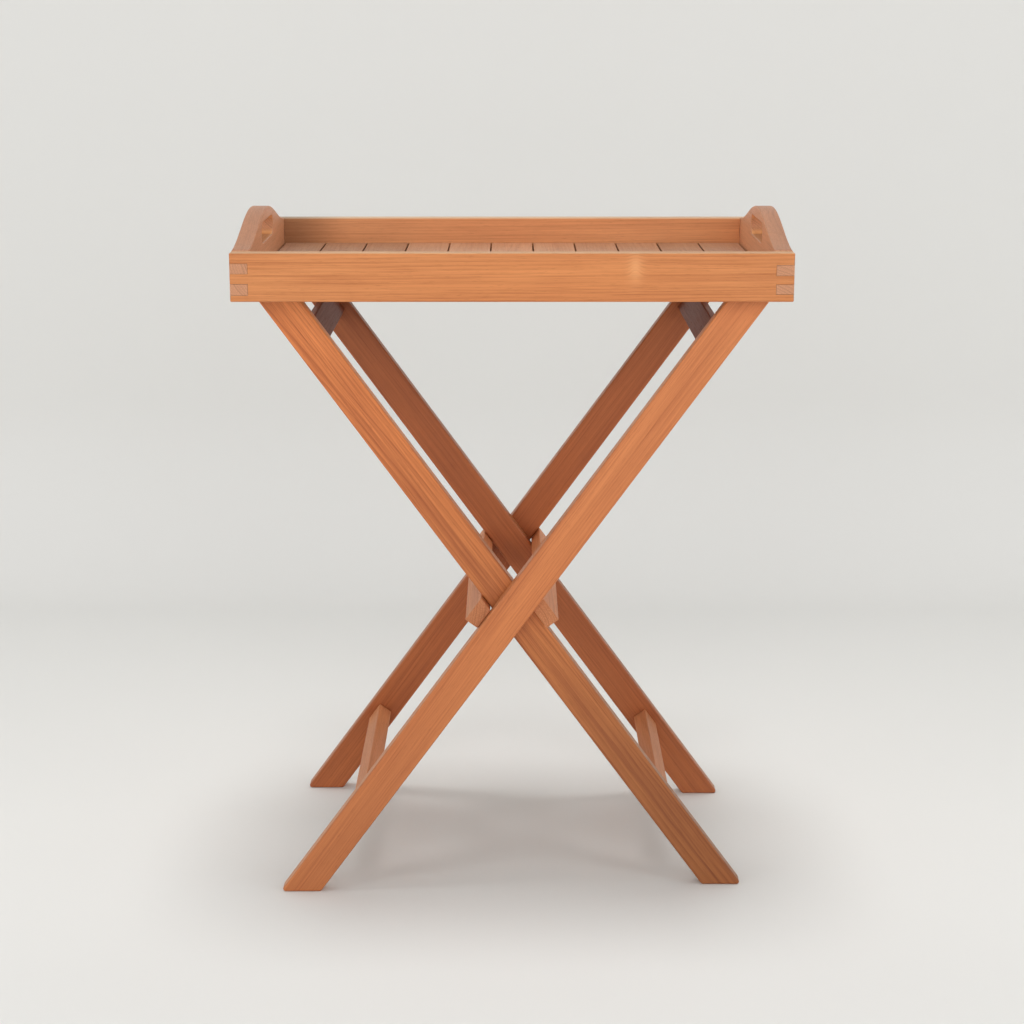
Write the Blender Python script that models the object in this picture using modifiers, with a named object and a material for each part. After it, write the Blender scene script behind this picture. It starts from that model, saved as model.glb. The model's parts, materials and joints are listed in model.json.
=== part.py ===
"""Folding tray table in solid teak: a lift-off tray on a crossed, folding stand.

Metres, +Z up.  X runs along the tray, Y from front to back, and the origin is on the floor
under the middle.  Every piece of the stand is drawn in its frame's own coordinates: X up
along the leg, Y across the stand, Z square to the leg, with the pivot at the origin.
"""
import math

import bmesh
import bpy
from mathutils import Euler

# ---- driving dimensions -------------------------------------------------------------
TRAY_LENGTH = 0.600          # along X, outside
TRAY_DEPTH = 0.400           # along Y, outside
TABLE_HEIGHT = 0.736         # floor to the top of the tray's rails
RAIL_HEIGHT = 0.052
RAIL_THICK = 0.018
BOARD_THICK = 0.019          # end boards
FLOOR_RISE = 0.0215          # rail foot up to the tray's floor
# Edges of the end boards' fingers: down from the rail's top, or up from its foot if negative.
# These are the front joints, and the rear ones have them swapped.
LEFT_FINGERS = (0.0113, 0.0222, -0.0190, -0.0068)
RIGHT_FINGERS = (0.0127, 0.0241, -0.0185, -0.0081)
HANDLE_RISE = 0.0305         # rail top up to the middle of the handle
HANDLE_FOOT = 0.0045         # length at each end where the board's top stays level
SLOT_LENGTH = 0.114
SLOT_HEIGHT = 0.0225
SLOT_RISE = 0.0055           # rail top up to the middle of the hand slot
SLAT_COUNT = 11
SLAT_THICK = 0.012
SLAT_GAP = 0.0015
EDGE_GAP = 0.0015            # between an outer slat and its end board
TONGUE_LENGTH = 0.0055       # how far a slat reaches into the rail's groove
TONGUE_THICK = 0.006
BATTEN_WIDTH = 0.028
BATTEN_THICK = 0.0085
BATTEN_SPREAD = 0.150        # between the middles of the two battens
SCREW_LENGTH = 0.016
SCREW_RADIUS = 0.0016
SCREW_HEAD = 0.0034          # head radius
SCREW_RIM = 0.0004

STAND_CLEAR = 0.0055         # between a rail and the stand, front and rear
PIVOT_HEIGHT = 0.333
LEG_INSET = 0.0183           # end board in to the middle of a leg's top
LEG_CLEAR = 0.0015           # between a leg's trimmed top corner and the end board
LEG_WIDTH = 0.0375
LEG_THICK = 0.019
TOE_RADIUS = 0.003
STRETCHER_RISE = 0.136       # foot up to the foot stretcher's top, along the leg
STRETCHER_WIDTH = 0.025
CROSSBAR_DROP = 0.057        # leg's top down to the crossbar's top, along the leg
CROSSBAR_WIDTH = 0.030
BAR_THICK = 0.018
TENON_LENGTH = 0.011
TENON_SHOULDER = 0.003
STOP_BOTTOM = -0.0395        # lower end of a stop bar, along the leg from the pivot
STOP_THICK = 0.0172
STOP_RECESS = 0.010          # stop bar's end behind the outer leg's face
STOP_CHAMFER = 0.0015
PIN_RADIUS = 0.004
PIN_LENGTH = 0.028
WASHER_RADIUS = 0.010
WASHER_THICK = 0.001
DOWEL_RADIUS = 0.0025
DOWEL_LENGTH = 0.022
DOWEL_IN_LEG = 0.012
DOWEL_INSET = 0.0135         # stop bar's lower end up to its dowels

GAP = 0.0003                 # clearance between pieces that touch
LEG_ROUND = 0.0022           # edge radii
BAR_ROUND = 0.0015
STOP_ROUND = 0.0013
TRAY_ROUND = 0.0012
SLAT_ROUND = 0.0006
ROD_EASE = 0.0006            # on the ends of pins and dowels

# ---- sizes that follow ----------------------------------------------------------------
rail_foot = TABLE_HEIGHT - RAIL_HEIGHT
floor_top = rail_foot + FLOOR_RISE
floor_under = floor_top - SLAT_THICK
tongue_top = floor_under + TONGUE_THICK
inside_x = TRAY_LENGTH / 2 - BOARD_THICK
inside_y = TRAY_DEPTH / 2 - RAIL_THICK
leg_top = floor_under - GAP
leg_reach = inside_x - LEG_CLEAR
leg_angle = math.atan2(leg_top - PIVOT_HEIGHT, inside_x - LEG_INSET)
stretcher_top = STRETCHER_RISE - PIVOT_HEIGHT / math.sin(leg_angle)
crossbar_top = (leg_top - PIVOT_HEIGHT) / math.sin(leg_angle) - CROSSBAR_DROP
stand_face = inside_y - STAND_CLEAR
outer_leg_y = stand_face - LEG_THICK / 2
inner_leg_y = outer_leg_y - LEG_THICK - WASHER_THICK - 2 * GAP
stop_end_y = stand_face - STOP_RECESS
edge = 1e-5                  # tolerance for telling edges apart


def clear_scene():
    for item in list(bpy.data.objects):
        bpy.data.objects.remove(item, do_unlink=True)


def new_collection(name):
    group = bpy.data.collections.new(name)
    bpy.context.scene.collection.children.link(group)
    return group


def finish(name, colour, roughness, metallic=0.0):
    """A Principled material for one piece."""
    material = bpy.data.materials.new(name)
    material.use_nodes = True
    shader = material.node_tree.nodes["Principled BSDF"]
    shader.inputs["Base Color"].default_value = (*colour, 1.0)
    shader.inputs["Roughness"].default_value = roughness
    shader.inputs["Metallic"].default_value = metallic
    return material


def add(name, mesh, material=None, parent=None, place=(0, 0, 0)):
    """Link a mesh as a named object, as a part or, without a material, as a cutter."""
    item = bpy.data.objects.new(name, mesh)
    item.parent = parent
    item.location = place
    if material:
        mesh.materials.append(finish(name, *material))
        parts.objects.link(item)
    else:
        cutters.objects.link(item)
        item.hide_render = True
        item.display_type = "WIRE"
    return item


def block(low, high):
    """A box mesh between two corners."""
    mesh = bpy.data.meshes.new("block")
    work = bmesh.new()
    bmesh.ops.create_cube(work, size=1.0)
    size = [b - a for a, b in zip(low, high)]
    middle = [(a + b) / 2 for a, b in zip(low, high)]
    bmesh.ops.scale(work, vec=size, verts=work.verts)
    bmesh.ops.translate(work, vec=middle, verts=work.verts)
    work.to_mesh(mesh)
    work.free()
    return mesh


def plate(outlines, thickness, axis):
    """Extrude flat outlines, the first one solid and the rest holes, square to X or Y.

    An outline is in (y, z) for a plate square to X and in (x, z) for one square to Y.
    """
    curve = bpy.data.curves.new("plate", "CURVE")
    curve.dimensions = "2D"
    curve.fill_mode = "BOTH"
    curve.extrude = thickness / 2
    for outline in outlines:
        spline = curve.splines.new("POLY")
        spline.points.add(len(outline) - 1)
        for point, (across, up) in zip(spline.points, outline):
            point.co = (across, up, 0, 1)
        spline.use_cyclic_u = True
    guide = bpy.data.objects.new("plate", curve)
    cutters.objects.link(guide)
    guide.hide_render = True
    guide.display_type = "WIRE"
    evaluated = guide.evaluated_get(bpy.context.evaluated_depsgraph_get())
    mesh = bpy.data.meshes.new_from_object(evaluated)
    bpy.data.objects.remove(guide, do_unlink=True)
    work = bmesh.new()
    work.from_mesh(mesh)
    bmesh.ops.remove_doubles(work, verts=work.verts, dist=1e-6)
    bmesh.ops.dissolve_degenerate(work, edges=work.edges, dist=1e-7)
    bmesh.ops.dissolve_limit(work, angle_limit=2e-3, verts=work.verts, edges=work.edges)
    turn = (math.pi / 2, 0, math.pi / 2) if axis == "X" else (math.pi / 2, 0, 0)
    bmesh.ops.rotate(work, matrix=Euler(turn).to_matrix(), verts=work.verts)
    work.to_mesh(mesh)
    work.free()
    return mesh


def turned(profile, steps, parent, name, material=None, place=(0, 0, 0), turn=(0, 0, 0)):
    """Spin a profile of (radius, z), given from the top down, about Z."""
    mesh = bpy.data.meshes.new(name)
    work = bmesh.new()
    ring = [work.verts.new((radius, 0, z)) for radius, z in profile]
    for first, second in zip(ring, ring[1:]):
        work.edges.new((first, second))
    work.to_mesh(mesh)
    work.free()
    item = add(name, mesh, material, parent, place)
    item.rotation_euler = turn
    spin = item.modifiers.new("spin", "SCREW")
    spin.steps = spin.render_steps = steps
    spin.use_merge_vertices = True
    spin.merge_threshold = 1e-6
    spin.use_smooth_shade = False
    return item


def round_edges(item, radius, segments=2, clamp=True):
    bevel = item.modifiers.new("round", "BEVEL")
    bevel.width = radius
    bevel.segments = segments
    bevel.limit_method = "ANGLE"
    bevel.angle_limit = math.radians(30)
    bevel.use_clamp_overlap = clamp


def round_marked(item, radius, marked):
    """Round only the edges whose two ends pass the test, so that joints stay flush."""
    mesh = item.data
    weights = mesh.attributes.new("bevel_weight_edge", "FLOAT", "EDGE")
    for line, weight in zip(mesh.edges, weights.data):
        weight.value = marked(*(mesh.vertices[index].co for index in line.vertices))
    round_edges(item, radius, clamp=False)
    item.modifiers["round"].limit_method = "WEIGHT"


def cut(item, cutter):
    boolean = item.modifiers.new("cut", "BOOLEAN")
    boolean.operation = "DIFFERENCE"
    boolean.solver = "EXACT"
    boolean.object = cutter


def rod(radius, low, high, name, parent, place, turn=(0, 0, 0), material=None, ease=0.0):
    """A plain rod along its own Z, with its ends eased or left sharp."""
    profile = [(0, high), (radius - ease, high), (radius, high - ease)]
    profile += [(radius, low + ease), (radius - ease, low), (0, low)]
    if not ease:
        profile = [(0, high), (radius, high), (radius, low), (0, low)]
    return turned(profile, 24, parent, name, material, place, turn)


# ---- the stand -------------------------------------------------------------------------
def pivot_empty(name, turn, facing):
    """An empty on the pivot's axis, turned so that its X runs up the leg."""
    empty = bpy.data.objects.new(name, None)
    empty.location = (0, 0, PIVOT_HEIGHT)
    empty.rotation_euler = turn
    empty["facing"] = facing
    parts.objects.link(empty)
    return empty


def leg_outline():
    """Leg in its frame's own coordinates: toe, floor cut, trimmed corner and top cut."""
    half = LEG_WIDTH / 2

    def at_height(z, side):
        return (z - PIVOT_HEIGHT - side * math.cos(leg_angle)) / math.sin(leg_angle), side

    # The toe is the sharp corner, so its arc touches the floor and the leg's upper side.
    toe_side = half - TOE_RADIUS
    toe_along = at_height(TOE_RADIUS, toe_side)[0]
    steps = 6
    outline = []
    for step in range(steps + 1):
        angle = math.pi / 2 + (math.pi - leg_angle) * step / steps
        outline.append((toe_along + TOE_RADIUS * math.cos(angle),
                        toe_side + TOE_RADIUS * math.sin(angle)))
    outline.append(at_height(0, -half))

    # The top's outer corner is trimmed upright where it would reach the end board.
    trim = (leg_reach - half * math.sin(leg_angle)) / math.cos(leg_angle)
    if trim < at_height(leg_top, -half)[0]:
        rise = leg_top - PIVOT_HEIGHT
        outline.append((trim, -half))
        outline.append((leg_reach * math.cos(leg_angle) + rise * math.sin(leg_angle),
                        rise * math.cos(leg_angle) - leg_reach * math.sin(leg_angle)))
    else:
        outline.append(at_height(leg_top, -half))
    return outline + [at_height(leg_top, half)]


def stop_outline():
    """Stop bar: square to its own leg below, and cut along the other leg's edge above."""
    near = LEG_WIDTH / 2 + GAP
    far = near + STOP_THICK
    crossing = 2 * leg_angle

    def along_other(side):
        return (side * -math.cos(crossing) - LEG_WIDTH / 2 - GAP) / math.sin(crossing)

    return [
        (STOP_BOTTOM, near),
        (along_other(near) - STOP_CHAMFER, near),
        (along_other(near + STOP_CHAMFER), near + STOP_CHAMFER),
        (along_other(far), far),
        (STOP_BOTTOM, far),
    ]


def build_leg(name, frame, y):
    leg = add(name, plate([leg_outline()], LEG_THICK, "Y"), WOOD_LEG, frame, (0, y, 0))
    round_edges(leg, LEG_ROUND, 3)
    return leg


def build_bar(name, frame, top, width, inner_face):
    """A bar between two legs with a stub tenon at each end, and the cutter for its mortises."""
    reach = inner_face - GAP
    mesh = block((top - width, -reach, -BAR_THICK / 2), (top, reach, BAR_THICK / 2))
    bar = add(name, mesh, WOOD_BAR, frame)
    round_edges(bar, BAR_ROUND)
    end = inner_face + TENON_LENGTH
    inset = TENON_SHOULDER + BAR_ROUND
    low = (top - width + inset, -end, -BAR_THICK / 2 + inset)
    high = (top - inset, end, BAR_THICK / 2 - inset)
    join = bar.modifiers.new("tenon", "BOOLEAN")
    join.operation = "UNION"
    join.solver = "EXACT"
    join.object = add(name + "_tenon", block(low, high), None, frame)
    mesh = block([value - GAP for value in low], [value + GAP for value in high])
    return add(name + "_mortise", mesh, None, frame)


def build_frame(prefix, frame, leg_y):
    """Two legs, a foot stretcher, a crossbar, a stop bar and its two dowels."""
    inner_face = leg_y - LEG_THICK / 2
    facing = frame["facing"]
    legs = [build_leg(prefix + "_front_leg", frame, -leg_y * facing),
            build_leg(prefix + "_rear_leg", frame, leg_y * facing)]
    mortises = [
        build_bar(prefix + "_foot_stretcher", frame, stretcher_top, STRETCHER_WIDTH,
                  inner_face),
        build_bar(prefix + "_crossbar", frame, crossbar_top, CROSSBAR_WIDTH, inner_face),
    ]
    stop = add(prefix + "_stop_bar", plate([stop_outline()], 2 * stop_end_y, "Y"),
               WOOD_BAR, frame)
    round_edges(stop, STOP_ROUND)
    # A dowel stands in the middle of what the stop bar covers of the leg's thickness.
    outer_face = min(leg_y + LEG_THICK / 2, stop_end_y)
    dowel_y = (inner_face + outer_face) / 2
    low = LEG_WIDTH / 2 - DOWEL_IN_LEG
    high = low + DOWEL_LENGTH
    for leg, end, side in zip(legs, ("front", "rear"), (-facing, facing)):
        place = (STOP_BOTTOM + DOWEL_INSET, side * dowel_y, 0)
        name = "%s_stop_dowel_%s" % (prefix, end)
        rod(DOWEL_RADIUS, low, high, name, frame, place, material=WOOD_DOWEL, ease=ROD_EASE)
        bore = rod(DOWEL_RADIUS + GAP, low - GAP, high + GAP, name + "_bore", frame, place)
        cut(leg, bore)
        cut(stop, bore)
        for mortise in mortises:
            cut(leg, mortise)
    return legs


def build_pivots(frame, outer_legs, inner_legs):
    """A blind steel pin and a thin washer where each pair of legs crosses."""
    between = (outer_leg_y + inner_leg_y) / 2
    turn = (math.pi / 2, 0, 0)
    pairs = zip(("front", "rear"), (-between, between), outer_legs, inner_legs)
    for end, y, outer_leg, inner_leg in pairs:
        place = (0, y, 0)
        rod(PIN_RADIUS, -PIN_LENGTH / 2, PIN_LENGTH / 2, "pivot_pin_" + end, frame,
            place, turn, STEEL, ROD_EASE)
        bore = rod(PIN_RADIUS + GAP, -PIN_LENGTH / 2 - GAP, PIN_LENGTH / 2 + GAP,
                   "pivot_bore_" + end, frame, place, turn)
        washer = rod(WASHER_RADIUS, -WASHER_THICK / 2, WASHER_THICK / 2,
                     "pivot_washer_" + end, frame, place, turn, STEEL)
        for item in (washer, outer_leg, inner_leg):
            cut(item, bore)


# ---- the tray ----------------------------------------------------------------------------
def stepped_end(near, far, long_first, drops):
    """One end of a finger-jointed outline, from the rail top down to the rail foot."""
    reach = far if long_first else near
    points = [(reach, TABLE_HEIGHT)]
    for drop in drops:
        other = near if reach == far else far
        level = (TABLE_HEIGHT if drop > 0 else rail_foot) - drop
        level += GAP / 2 if reach == far else -GAP / 2
        points += [(reach, level), (other, level)]
        reach = other
    points.append((reach, rail_foot))
    return points


def build_rails():
    """Front and rear rails: finger-jointed ends, and a groove for the slats' ends."""
    groove_end = inside_x - EDGE_GAP + GAP
    for name, side, drops in (("front_rail", -1, (LEFT_FINGERS, RIGHT_FINGERS)),
                              ("rear_rail", 1, (RIGHT_FINGERS, LEFT_FINGERS))):
        left, right = (stepped_end(inside_x - GAP, TRAY_LENGTH / 2, True, ends)
                       for ends in drops)
        outline = right + [(-x, z) for x, z in reversed(left)]
        y = side * (TRAY_DEPTH - RAIL_THICK) / 2
        rail = add(name, plate([outline], RAIL_THICK, "Y"), WOOD_RAIL, tray, (0, y, 0))

        def outside(start, end):
            top = min(start.z, end.z) > TABLE_HEIGHT - edge
            foot = max(start.z, end.z) < rail_foot + edge
            corner = min(abs(start.x), abs(end.x)) > TRAY_LENGTH / 2 - edge
            return top or foot or (corner and min(start.y * side, end.y * side) > 0)

        round_marked(rail, TRAY_ROUND, outside)
        mouth = side * (inside_y - GAP)
        bottom = side * (inside_y + TONGUE_LENGTH + GAP)
        low = (-groove_end, min(mouth, bottom), floor_under - GAP)
        high = (groove_end, max(mouth, bottom), tongue_top + GAP)
        cut(rail, add(name + "_groove", block(low, high), None, tray))


def handle_height(y):
    """The end board's top: level at the corners, rising in an ogee to the handle."""
    run = TRAY_DEPTH / 2 - HANDLE_FOOT
    if abs(y) >= run:
        return TABLE_HEIGHT
    return TABLE_HEIGHT + HANDLE_RISE * (1 + math.cos(math.pi * y / run)) / 2


def hand_slot():
    """A slot with half-round ends, in (y, z)."""
    radius = SLOT_HEIGHT / 2
    straight = SLOT_LENGTH / 2 - radius
    middle = TABLE_HEIGHT + SLOT_RISE
    points = []
    for side in (1, -1):
        for step in range(13):
            angle = math.pi * (step / 12 - 0.5)
            points.append((side * (straight + radius * math.cos(angle)),
                           middle + side * radius * math.sin(angle)))
    return points


def build_end_boards():
    """End boards: finger-jointed, shaped on top, with a hand slot."""
    half_top = inside_y - GAP
    count = 36
    top = [(half_top * (2 * step / count - 1)) for step in range(count + 1)]
    crest = [(y, handle_height(y)) for y in top]
    for name, side, drops in (("left_end_board", -1, (LEFT_FINGERS, RIGHT_FINGERS)),
                              ("right_end_board", 1, (RIGHT_FINGERS, LEFT_FINGERS))):
        front, rear = (stepped_end(half_top, TRAY_DEPTH / 2, False, ends)[1:]
                       for ends in drops)
        outline = crest + rear + [(-y, z) for y, z in reversed(front)]
        x = side * (TRAY_LENGTH - BOARD_THICK) / 2
        board = add(name, plate([outline, hand_slot()], BOARD_THICK, "X"), WOOD_BOARD, tray,
                    (x, 0, 0))

        def outside(start, end):
            if abs(start.x - end.x) > edge:
                return False
            crest = min(start.z, end.z) > TABLE_HEIGHT - edge
            foot = max(start.z, end.z) < rail_foot + edge
            slot = max(abs(start.y), abs(end.y)) < SLOT_LENGTH / 2 + edge
            corner = min(abs(start.y), abs(end.y)) > TRAY_DEPTH / 2 - edge
            return crest or foot or slot or (corner and start.x * side > 0)

        round_marked(board, TRAY_ROUND, outside)


def slat_outline():
    """A slat's side: full thickness between the rails, with a thinner tongue at each end."""
    shoulder = inside_y - GAP
    tip = inside_y + TONGUE_LENGTH
    half = [(tip, floor_under), (tip, tongue_top), (shoulder, tongue_top),
            (shoulder, floor_top)]
    return half + [(-y, z) for y, z in reversed(half)]


def screw_shape(extra):
    """Countersunk screw pointing up, its head just inside z = 0, grown by extra."""
    head = SCREW_HEAD + extra
    shank = SCREW_RADIUS + extra
    top = SCREW_LENGTH + extra
    rim = GAP + SCREW_RIM + extra / 2
    foot = GAP - 2 * extra
    return [(0, top), (shank, top - 2 * SCREW_RADIUS), (shank, rim + head - shank),
            (head, rim), (head, foot), (0, foot)]


def build_floor():
    """Slats held in the rails' grooves, two battens under them, and a screw at each crossing."""
    first_edge = EDGE_GAP - inside_x
    pitch = (SLAT_GAP - 2 * first_edge) / SLAT_COUNT
    half_slat = (pitch - SLAT_GAP) / 2
    slats = []
    for index in range(SLAT_COUNT):
        x = first_edge + half_slat + pitch * index
        mesh = plate([slat_outline()], 2 * half_slat, "X")
        slat = add("slat_%02d" % (index + 1), mesh, WOOD_SLAT, tray, (x, 0, 0))
        round_edges(slat, SLAT_ROUND, 1)
        slats.append(slat)
    batten_top = floor_under - GAP
    batten_foot = batten_top - BATTEN_THICK
    reach = inside_x - 2 * GAP
    for end, side in (("front", -1), ("rear", 1)):
        y = side * BATTEN_SPREAD / 2
        mesh = block((-reach, -BATTEN_WIDTH / 2, batten_foot),
                     (reach, BATTEN_WIDTH / 2, batten_top))
        batten = add(end + "_batten", mesh, WOOD_SLAT, tray, (0, y, 0))
        for index, slat in enumerate(slats):
            x = slat.location.x
            name = "%s_screw_%02d" % (end, index + 1)
            place = (x, y, batten_foot)
            turned(screw_shape(0), 12, tray, name, STEEL, place)
            bore = turned(screw_shape(GAP), 12, tray, name + "_bore", None, place)
            cut(batten, bore)
            cut(slat, bore)


# ---- assembly ------------------------------------------------------------------------------
WOOD_LEG = ((0.47, 0.20, 0.085), 0.5)
WOOD_BAR = ((0.42, 0.20, 0.10), 0.55)
WOOD_DOWEL = ((0.62, 0.40, 0.22), 0.6)
WOOD_RAIL = ((0.58, 0.27, 0.11), 0.5)
WOOD_BOARD = ((0.45, 0.21, 0.11), 0.5)
WOOD_SLAT = ((0.50, 0.24, 0.12), 0.55)
STEEL = ((0.55, 0.55, 0.56), 0.35, 1.0)

clear_scene()
parts = new_collection("folding_tray_table")
cutters = new_collection("cutters")

outer = pivot_empty("outer_pivot", (0, -leg_angle, 0), 1)
inner = pivot_empty("inner_pivot", (0, -leg_angle, math.pi), -1)
tray = bpy.data.objects.new("tray_seat", None)
parts.objects.link(tray)

outer_legs = build_frame("outer", outer, outer_leg_y)
inner_legs = build_frame("inner", inner, inner_leg_y)
build_pivots(outer, outer_legs, inner_legs)
build_rails()
build_end_boards()
build_floor()
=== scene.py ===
"""Folding tray table in oiled teak: a lift-off tray on a crossed, folding stand."""
import json
import math

import bmesh
import bpy
from mathutils import Euler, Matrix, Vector


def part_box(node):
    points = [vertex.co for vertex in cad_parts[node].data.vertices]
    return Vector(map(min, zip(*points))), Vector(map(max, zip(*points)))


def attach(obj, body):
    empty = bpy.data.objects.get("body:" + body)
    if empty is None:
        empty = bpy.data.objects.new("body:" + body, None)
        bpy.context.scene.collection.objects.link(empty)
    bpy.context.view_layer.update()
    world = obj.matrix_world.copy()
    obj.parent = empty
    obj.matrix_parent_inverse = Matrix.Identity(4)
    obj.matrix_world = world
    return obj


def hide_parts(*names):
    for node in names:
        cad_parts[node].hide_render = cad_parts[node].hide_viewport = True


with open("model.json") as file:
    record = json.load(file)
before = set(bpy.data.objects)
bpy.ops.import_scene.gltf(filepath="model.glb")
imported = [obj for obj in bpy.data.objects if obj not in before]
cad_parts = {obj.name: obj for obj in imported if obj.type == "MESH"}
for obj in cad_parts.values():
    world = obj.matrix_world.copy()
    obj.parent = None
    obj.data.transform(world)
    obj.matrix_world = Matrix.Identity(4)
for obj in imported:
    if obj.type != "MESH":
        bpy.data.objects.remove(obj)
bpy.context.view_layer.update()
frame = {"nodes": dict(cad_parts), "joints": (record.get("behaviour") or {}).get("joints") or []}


# ---- Legs of the outer frame -------------------------------------------------------------
# Two straight teak legs, 19 mm thick, ripped along the grain and eased on every arris. The
# floor cut and the top cut run across them at the stand's angle, and the toe is softened.
class Wire:
    """A shader socket that takes part in plain arithmetic."""

    def __init__(self, tree, socket):
        self.tree, self.socket = tree, socket

    def math(self, operation, *values, clamp=False):
        settings = {"operation": operation, "use_clamp": clamp}
        return node(self.tree, "ShaderNodeMath", settings, dict(enumerate(values)))

    def output(self, index):
        return Wire(self.tree, self.socket.node.outputs[index])

    def __add__(self, other):
        return self.math("ADD", self, other)

    def __sub__(self, other):
        return self.math("SUBTRACT", self, other)

    def __rsub__(self, other):
        return self.math("SUBTRACT", other, self)

    def __mul__(self, other):
        return self.math("MULTIPLY", self, other)

    def __truediv__(self, other):
        return self.math("DIVIDE", self, other)

    def __pow__(self, other):
        return self.math("POWER", self, other)

    def __abs__(self):
        return self.math("ABSOLUTE", self)

    __radd__, __rmul__ = __add__, __mul__


def node(tree, kind, settings=None, inputs=None, output=0):
    """Any shader node: its settings first, then its sockets' values or links."""
    made = tree.nodes.new(kind)
    for name, value in (settings or {}).items():
        setattr(made, name, value)
    for name, value in (inputs or {}).items():
        if isinstance(value, Wire):
            tree.links.new(value.socket, made.inputs[name])
        else:
            made.inputs[name].default_value = value
    return Wire(tree, made.outputs[output]) if len(made.outputs) else None


def new_material(name):
    material = bpy.data.materials.new(name)
    material.use_nodes = True
    material.node_tree.nodes.clear()
    return material, material.node_tree


def blend(tree, factor, first, second):
    """Mix two colours; each is a link or three numbers."""
    colours = {index: value if isinstance(value, Wire) else (*value, 1)
               for index, value in ((6, first), (7, second))}
    return node(tree, "ShaderNodeMix", {"data_type": "RGBA"}, {0: factor, **colours}, 2)


def ramp(tree, value, low, high, bottom=0.0, top=1.0):
    inputs = {0: value, 1: low, 2: high, 3: bottom, 4: top}
    return node(tree, "ShaderNodeMapRange", {"interpolation_type": "SMOOTHSTEP"}, inputs)


def grain_noise(tree, place, per_metre, detail=2, roughness=0.5):
    """Noise drawn out along the board: cycles per metre along, across and through it."""
    scaled = node(tree, "ShaderNodeVectorMath", {"operation": "MULTIPLY"},
                  {0: place, 1: per_metre})
    inputs = {"Vector": scaled, "Scale": 1.0, "Detail": detail, "Roughness": roughness}
    return node(tree, "ShaderNodeTexNoise", None, inputs)


def tinted(colour, *gain):
    gain = gain * 3 if len(gain) == 1 else gain
    return [min(0.95, value * factor) for value, factor in zip(colour, gain)]


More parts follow.
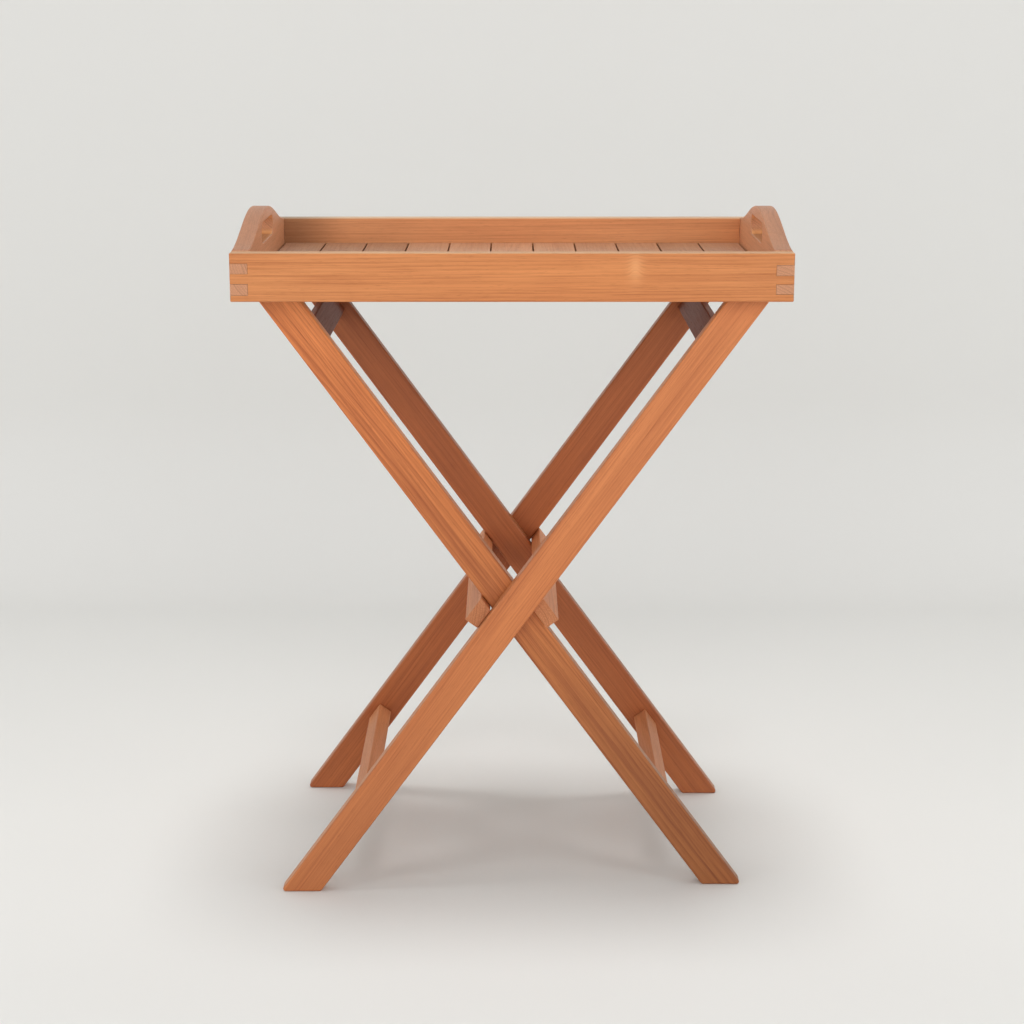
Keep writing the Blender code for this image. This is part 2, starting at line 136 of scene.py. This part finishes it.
def teak(board, turn, middle, pith, light, dark, seed, ring=0.0030, figure=1.0,
         tilt=(0.010, 0.016), wander=0.016, knot=None, slot=None, fade=None,
         painted_top_light=None, gloss=1.0):
    """Oiled teak, solid through: growth rings round a pith that runs beside the board.

    turn carries the board's length on to X and middle is its centre. pith is where the heart
    of the log lies from there, across and through, and tilt is how it drifts along the board.
    knot is where a pale scar lies, along and through. slot is a hand hole's reach from the
    middle, its rise above it and half its height; the hole's walls are painted paler, as
    painted light.
    fade is where the board is darkest along its length, where it is full, and how dark it gets;
    on the legs it is painted shade.
    The tint on faces and arrises that look up is painted light: how much of it they take, and
    its gain on each colour.
    """
    material, tree = new_material(board + "_teak")
    start = -(Euler(turn).to_matrix() @ Vector(middle))
    spot = node(tree, "ShaderNodeTexCoord", None, None, 3)
    place = node(tree, "ShaderNodeMapping", {"vector_type": "POINT"},
                 {"Vector": spot, "Rotation": turn, "Location": start})
    along = node(tree, "ShaderNodeSeparateXYZ", None, {0: place})
    across, through = along.output(1), along.output(2)
    shifted = node(tree, "ShaderNodeVectorMath", {"operation": "ADD"},
                   {0: place, 1: (seed * 1.7, seed * 0.31, seed * 0.53)})

    # Growth rings: uneven in width and in strength, each darkening slowly to a sharp end.
    side = across - along * tilt[0] - pith[0]
    deep = through - along * tilt[1] - pith[1]
    radius = (side * side + deep * deep) ** 0.5
    drift = grain_noise(tree, shifted, (2.0, 13, 13), 3, 0.5)
    ripple = grain_noise(tree, shifted, (11, 70, 70), 2)
    radius = radius + (drift - 0.5) * wander + (ripple - 0.5) * 0.0007
    if knot:
        reach = ((along - knot[0]) / 0.007) ** 2 + ((through - knot[1]) / 0.015) ** 2
        mound = reach.math("EXPONENT", reach * -1)
        radius = radius + mound * 0.005
    year = node(tree, "ShaderNodeCombineXYZ", None, {0: radius * 130, 1: seed})
    uneven = node(tree, "ShaderNodeTexNoise", {"noise_dimensions": "2D"},
                  {"Vector": year, "Scale": 1.0, "Detail": 1.0})
    phase = radius / ring + (uneven - 0.5) * 1.6
    season = phase.math("FRACT", phase)
    late = season ** 2.6 * ramp(tree, season, 0.90, 1.0, 1.0, 0.0)
    late = late * ramp(tree, uneven, 0.30, 0.70, 0.35, 1.25)

    # Fibres, darker streaks and the short open pores that lie along them.
    fibre = grain_noise(tree, shifted, (16, 900, 900), 3, 0.65)
    streak = grain_noise(tree, shifted, (4.5, 250, 250), 4, 0.62)
    vein = ramp(tree, grain_noise(tree, shifted, (6, 420, 420), 3, 0.55), 0.55, 0.72)
    pores = ramp(tree, grain_noise(tree, shifted, (85, 1700, 1700), 1), 0.62, 0.74)
    cloud = grain_noise(tree, shifted, (3.5, 26, 26), 3)
    blush = ramp(tree, grain_noise(tree, shifted, (1.8, 12, 12), 2), 0.35, 0.68)

    shade = late * (0.30 * figure) + (streak - 0.5) * (0.75 * figure) + (fibre - 0.5) * 0.75
    shade = shade + (cloud - 0.5) * (1.0 * figure) + vein * (0.20 * figure) + 0.34
    shade = shade.math("ADD", shade, 0.0, clamp=True)
    colour = blend(tree, blush * 0.5, light, tinted(light, 1.02, 0.88, 0.74))
    colour = blend(tree, shade, colour, dark)
    colour = blend(tree, pores * 0.24, colour, tinted(dark, 0.45))
    if knot:
        colour = blend(tree, mound * streak * 0.9, colour, tinted(light, 1.25, 1.5, 1.9))
    facing = node(tree, "ShaderNodeTexCoord", None, None, 1)
    # Faces that look up get a painted tint by their direction: a painted highlight or sheen on
    # the legs and rails, painted shade on the end boards' tops.
    if painted_top_light:
        painted_top_mask = node(tree, "ShaderNodeSeparateXYZ", None, {0: facing}).output(2)
        painted_top_mask = ramp(tree, painted_top_mask, 0.3, 0.75) * painted_top_light[0]
        painted_top_colour = node(tree, "ShaderNodeVectorMath", {"operation": "MULTIPLY"},
                       {0: colour, 1: painted_top_light[1:]})
        colour = blend(tree, painted_top_mask, colour, painted_top_colour)
    facing = node(tree, "ShaderNodeMapping", {"vector_type": "NORMAL"},
                  {"Vector": facing, "Rotation": turn})
    facing = node(tree, "ShaderNodeSeparateXYZ", None, {0: facing})
    # The hand hole's walls are painted paler: painted light.
    if slot:
        reach, rise, height = slot
        near = ramp(tree, abs(along), reach, reach + 0.001, 1.0, 0.0)
        painted_slot_light = ramp(tree, abs(through - rise), height, height + 0.001, 1.0, 0.0) * near
        painted_slot_light = painted_slot_light * ramp(tree, abs(facing.output(1)), 0.3, 0.6, 1.0, 0.0)
        colour = blend(tree, painted_slot_light * 0.8, colour, tinted(light, 1.35, 1.25, 1.0))
    # Darker along part of the board: painted shade on the legs, towards the foot or towards the
    # top.
    if fade:
        tone_and_painted_shade = ramp(tree, along, fade[0], fade[1], fade[2], 1.0)
        colour = node(tree, "ShaderNodeVectorMath", {"operation": "SCALE"},
                      {0: colour, 3: tone_and_painted_shade})

    # End grain: duller and darker, with the rings cut square and open vessels between them.
    end_on = ramp(tree, abs(facing), 0.55, 0.92)
    vessels = grain_noise(tree, shifted, (200, 1100, 1100), 2, 0.6)
    raw = blend(tree, ramp(tree, vessels, 0.32, 0.70), tinted(light, 0.82, 0.80, 0.88), dark)
    raw = blend(tree, late * 0.75, raw, tinted(dark, 0.66))
    colour = blend(tree, end_on * 0.85, colour, raw)

    relief = fibre * 0.4 - late * 0.25 - pores * 0.8
    bump = node(tree, "ShaderNodeBump", None,
                {"Strength": 0.4, "Distance": 0.00025, "Height": relief})
    rough = 0.46 + (fibre - 0.5) * 0.2 + end_on * 0.18 + pores * 0.15
    shader = node(tree, "ShaderNodeBsdfPrincipled", None,
                  {"Base Color": colour, "Roughness": rough, "Normal": bump,
                   "Specular IOR Level": 0.3 * gloss, "Coat Weight": 0.12 * gloss,
                   "Coat Roughness": 0.38})
    node(tree, "ShaderNodeOutputMaterial", None, {"Surface": shader})
    return material


def dressed(cad_name, material, body):
    """A piece in a CAD node's shape, its faces made whole and its eased edges smooth."""
    mesh = frame["nodes"][cad_name].data.copy()
    mesh.name = cad_name + "_wood"
    work = bmesh.new()
    work.from_mesh(mesh)
    bmesh.ops.remove_doubles(work, verts=work.verts, dist=1e-6)
    bmesh.ops.dissolve_limit(work, angle_limit=0.004, verts=work.verts, edges=work.edges)
    work.to_mesh(mesh)
    work.free()
    mesh.shade_smooth()
    mesh.set_sharp_from_angle(angle=math.radians(38))
    mesh.materials.clear()
    mesh.materials.append(material)
    piece = bpy.data.objects.new(mesh.name, mesh)
    bpy.context.scene.collection.objects.link(piece)
    even = piece.modifiers.new("even_shading", "WEIGHTED_NORMAL")
    even.keep_sharp = True
    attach(piece, body)
    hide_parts(cad_name)


def middle_of(cad_name):
    low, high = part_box(cad_name)
    return (low + high) / 2


pivot = Vector(frame["joints"][0]["pos_m"])
lean = math.radians(53.9)               # the open legs' angle to the floor
leg_top_highlight = (0.6, 1.0, 1.5, 2.1)         # painted highlight: their upper arrises are made paler, for the light they catch
outer_turn = (0, lean, 0)
# The front leg darkens towards its foot: painted shade, for the light falling off towards the
# floor. The rear leg is coloured darker, and darker still towards its top: painted shade under
# the tray.
for name, seed, pith, light, dark, fade in (
        ("outer_front_leg", 1.0, (0.030, -0.060), (0.74, 0.262, 0.088), (0.42, 0.112, 0.035),
         (-0.41, 0.25, 0.78)),
        ("outer_rear_leg", 2.0, (-0.03, 0.07), (0.50, 0.150, 0.044), (0.24, 0.058, 0.016),
         (0.45, 0.20, 0.85))):
    middle = (pivot.x, middle_of(name).y, pivot.z)
    dressed(name, teak(name, outer_turn, middle, pith, light, dark, seed, fade=fade,
                       painted_top_light=leg_top_highlight), "outer_frame")


# ---- Legs of the inner frame -------------------------------------------------------------
# The same legs one leg's thickness further in, leaning the other way. The front one was cut
# nearer the bark, so its figure is wilder; it darkens steadily towards its foot, painted shade
# for the light falling off towards the floor.
inner_turn = (0, math.pi - lean, 0)
# The rear leg is coloured darker than the front one, and darker still towards its top: painted
# shade under the tray.
for name, seed, pith, light, dark, figure, fade in (
        ("inner_front_leg", 3.0, (0.035, 0.030), (0.86, 0.300, 0.088), (0.38, 0.090, 0.025),
         1.3, (-0.45, 0.40, 0.42)),
        ("inner_rear_leg", 4.0, (-0.04, -0.055), (0.46, 0.140, 0.043), (0.215, 0.053, 0.017),
         1.0, (0.45, 0.20, 0.80))):
    middle = (pivot.x, middle_of(name).y, pivot.z)
    dressed(name, teak(name, inner_turn, middle, pith, light, dark, seed, figure=figure,
                       fade=fade, painted_top_light=leg_top_highlight), "inner_frame")


# ---- Foot stretchers and crossbars -------------------------------------------------------
# Four bars from front to back, tenoned into the legs: two near the floor and two under the
# tray. They are cut from duller, browner boards than the legs. The upper two are the darkest:
# painted shade, for the tray's shadow over them.
depth_turn = (0, 0, -math.pi / 2)
bar_light, bar_dark = (0.64, 0.265, 0.118), (0.38, 0.140, 0.060)
bar_gloss = 0.3                         # barely oiled, so duller than the rest
for name, seed, pith, tone_and_painted_shade in (("outer_foot_stretcher", 5.0, (0.04, -0.03), (1.0, 1.0, 1.0)),
                               ("outer_crossbar", 6.0, (-0.05, 0.03), (0.34, 0.20, 0.13)),
                               ("inner_foot_stretcher", 7.0, (-0.04, -0.04), (0.95, 0.95, 0.95)),
                               ("inner_crossbar", 8.0, (0.05, 0.02), (0.34, 0.20, 0.13))):
    dressed(name, teak(name, depth_turn, middle_of(name), pith, tinted(bar_light, *tone_and_painted_shade),
                       tinted(bar_dark, *tone_and_painted_shade), seed, gloss=bar_gloss), name[:5] + "_frame")


# ---- Stop bars ---------------------------------------------------------------------------
# One bar lies in each side crotch of the cross, dowelled to the edges of its own pair of
# legs. Its bevelled top meets the other pair and stops the stand at its open angle.
for name, seed, pith in (("outer_stop_bar", 9.0, (0.075, 0.012)),
                         ("inner_stop_bar", 10.0, (0.06, -0.03))):
    dressed(name, teak(name, depth_turn, middle_of(name), pith, tinted(bar_light, 1.12),
                       tinted(bar_dark, 1.12), seed, ring=0.0034, gloss=bar_gloss),
            name[:5] + "_frame")


# ---- Pivots, dowels and screws -----------------------------------------------------------
# Blind steel pins and thin washers at the crossing, beech dowels in the stop bars, and
# countersunk steel screws under the tray. Little of them shows on the finished table.
def brushed_steel():
    material, tree = new_material("brushed_steel")
    spot = node(tree, "ShaderNodeTexCoord", None, None, 3)
    brush = grain_noise(tree, spot, (900, 900, 90), 3)
    colour = blend(tree, brush, (0.50, 0.49, 0.48), (0.66, 0.65, 0.63))
    shader = node(tree, "ShaderNodeBsdfPrincipled", None,
                  {"Base Color": colour, "Metallic": 1.0, "Roughness": brush * 0.2 + 0.22})
    node(tree, "ShaderNodeOutputMaterial", None, {"Surface": shader})
    return material


steel = brushed_steel()
beech = teak("beech_dowel", outer_turn, pivot, (0.03, 0.0), (0.72, 0.52, 0.33),
             (0.58, 0.38, 0.22), seed=12.0, ring=0.002)
for name, item in frame["nodes"].items():
    for kind, material in (("pivot_", steel), ("_screw_", steel), ("_dowel_", beech)):
        if kind in name:
            item.data.materials.clear()
            item.data.materials.append(material)


# ---- Tray rails --------------------------------------------------------------------------
# Front and rear rails, straight-grained and the warmest boards of all, finger-jointed at the
# ends. The front one has a pale scar right of the middle, where a twig once grew.
# The rails' top faces are made paler: painted sheen, for the light they catch from above.
rail_top_sheen = (0.8, 0.82, 1.3, 1.9)
for name, seed, pith, light, dark, knot, fade in (
        ("front_rail", 13.0, (0.035, 0.085), (0.77, 0.310, 0.105), (0.44, 0.128, 0.036),
         (0.131, 0.010), None),
        ("rear_rail", 14.0, (-0.05, -0.075), (0.88, 0.415, 0.182), (0.56, 0.222, 0.088),
         None, (-0.275, -0.19, 0.48))):
    dressed(name, teak(name, (0, 0, 0), middle_of(name), pith, light, dark, seed,
                       ring=0.0036, figure=1.1, tilt=(0.004, 0.012), wander=0.012,
                       knot=knot, fade=fade, painted_top_light=rail_top_sheen), "tray")


# ---- End boards --------------------------------------------------------------------------
# Shaped boards with a hand slot, sawn to an ogee on top. The end grain of their fingers
# shows on the rails' faces, and the slot's walls are painted paler: painted light.
board_light, board_dark = (0.80, 0.385, 0.200), (0.50, 0.225, 0.112)
board_top_shade = (0.9, 0.55, 0.50, 0.48)    # painted shade: the faces that look up are made darker
slot_reach, slot_height, slot_half = 0.0565, 0.7415, 0.0107
for name, seed, pith in (("left_end_board", 15.0, (-0.05, 0.055)),
                         ("right_end_board", 16.0, (0.05, -0.060))):
    middle = middle_of(name)
    slot = (slot_reach, slot_height - middle.z, slot_half)
    dressed(name, teak(name, depth_turn, middle, pith, board_light, board_dark, seed,
                       tilt=(0.03, 0.22), slot=slot, painted_top_light=board_top_shade), "tray")


# ---- Slats -------------------------------------------------------------------------------
# Eleven floor slats from front to back, tongued into the rails. Each is from another board,
# so no two match in figure or quite in colour. The slats nearest the end boards are darker,
# painted shade from the end boards, and all are paler and less saturated than the rails,
# partly painted sheen for the light their faces catch from above.
slat_light, slat_dark = (0.60, 0.315, 0.178), (0.39, 0.172, 0.092)
# Lighter in the middle and darker towards both end boards: painted shade, with some difference
# of each slat's own.
slat_tones_with_painted_shade = (0.64, 0.70, 0.70, 0.88, 0.94, 1.02, 0.94, 0.86, 0.80, 0.72, 0.74)
for number, tone_and_painted_shade in enumerate(slat_tones_with_painted_shade, 1):
    name = "slat_%02d" % number
    pith = (0.05 * math.cos(number * 2.3), -0.045 + 0.02 * math.sin(number * 1.7))
    dressed(name, teak(name, depth_turn, middle_of(name), pith, tinted(slat_light, tone_and_painted_shade),
                       tinted(slat_dark, tone_and_painted_shade), 17.0 + number), "tray")


# ---- Battens -----------------------------------------------------------------------------
# Two plain battens screwed across the slats from below hold the floor flat.
for name, seed in (("front_batten", 30.0), ("rear_batten", 31.0)):
    dressed(name, teak(name, (0, 0, 0), middle_of(name), (0.05, -0.03), board_light,
                       board_dark, seed), "tray")


# ---- Floor, light and camera -------------------------------------------------------------
# A pale paper sweep that curves up one metre behind the table. A soft light stands overhead,
# a small one leans over the front, and broad ones fill from the front and both sides.
def studio_sweep(wall_start, radius, half_width, front, height):
    work = bmesh.new()
    line = [work.verts.new((-half_width, front, 0.0))]
    steps = 24
    for step in range(steps + 1):
        angle = math.pi / 2 * step / steps
        line.append(work.verts.new((-half_width, wall_start + radius * math.sin(angle),
                                    radius * (1 - math.cos(angle)))))
    line.append(work.verts.new((-half_width, wall_start + radius, height)))
    edges = [work.edges.new(pair) for pair in zip(line, line[1:])]
    grown = bmesh.ops.extrude_edge_only(work, edges=edges)["geom"]
    verts = [item for item in grown if isinstance(item, bmesh.types.BMVert)]
    bmesh.ops.translate(work, vec=(2 * half_width, 0, 0), verts=verts)
    bmesh.ops.recalc_face_normals(work, faces=work.faces)
    mesh = bpy.data.meshes.new("studio_sweep")
    work.to_mesh(mesh)
    work.free()
    mesh.shade_smooth()
    material, tree = new_material("studio_paper")
    shader = node(tree, "ShaderNodeBsdfPrincipled", None,
                  {"Base Color": (0.735, 0.732, 0.711, 1), "Roughness": 0.9,
                   "Specular IOR Level": 0.1})
    node(tree, "ShaderNodeOutputMaterial", None, {"Surface": shader})
    mesh.materials.append(material)
    floor = bpy.data.objects.new("studio_sweep", mesh)
    bpy.context.scene.collection.objects.link(floor)
    return floor


studio_sweep(wall_start=1.0, radius=0.30, half_width=7.0, front=-7.0, height=6.0)


def soft_sun(name, way, spread, power):
    """A distant soft light from the given way, as wide as the spread in degrees."""
    data = bpy.data.lights.new(name, "SUN")
    data.energy, data.angle = power, math.radians(spread)
    light = bpy.data.objects.new(name, data)
    light.rotation_euler = (-Vector(way)).to_track_quat("-Z", "Y").to_euler()
    bpy.context.scene.collection.objects.link(light)


for name, way, spread, power in (("overhead", (0, 0.07, 1), 22, 1.42),
                                 ("key", (0, -0.36, 1), 12, 0.24),
                                 ("front", (0, -1, 0.22), 70, 1.68),
                                 ("left", (-1, -0.35, 0.16), 60, 1.05),
                                 ("right", (1, -0.35, 0.16), 60, 1.05)):
    soft_sun(name, way, spread, power)

world = bpy.data.worlds.new("studio_air")
bpy.context.scene.world = world
world.use_nodes = True
air = world.node_tree.nodes["Background"]
air.inputs["Color"].default_value = (1.0, 1.0, 1.0, 1)
air.inputs["Strength"].default_value = 0.10

camera_distance, camera_height, camera_fall = 2.4584, 0.9932, 13.42
camera_data = bpy.data.cameras.new("camera")
camera_data.sensor_width = 36
camera_data.lens = 74.94
camera = bpy.data.objects.new("camera", camera_data)
camera.location = (0, -camera_distance, camera_height)
camera.rotation_euler = (math.radians(90 - camera_fall), 0, 0)
bpy.context.scene.collection.objects.link(camera)
bpy.context.scene.camera = camera
bpy.context.scene.view_settings.view_transform = "Standard"
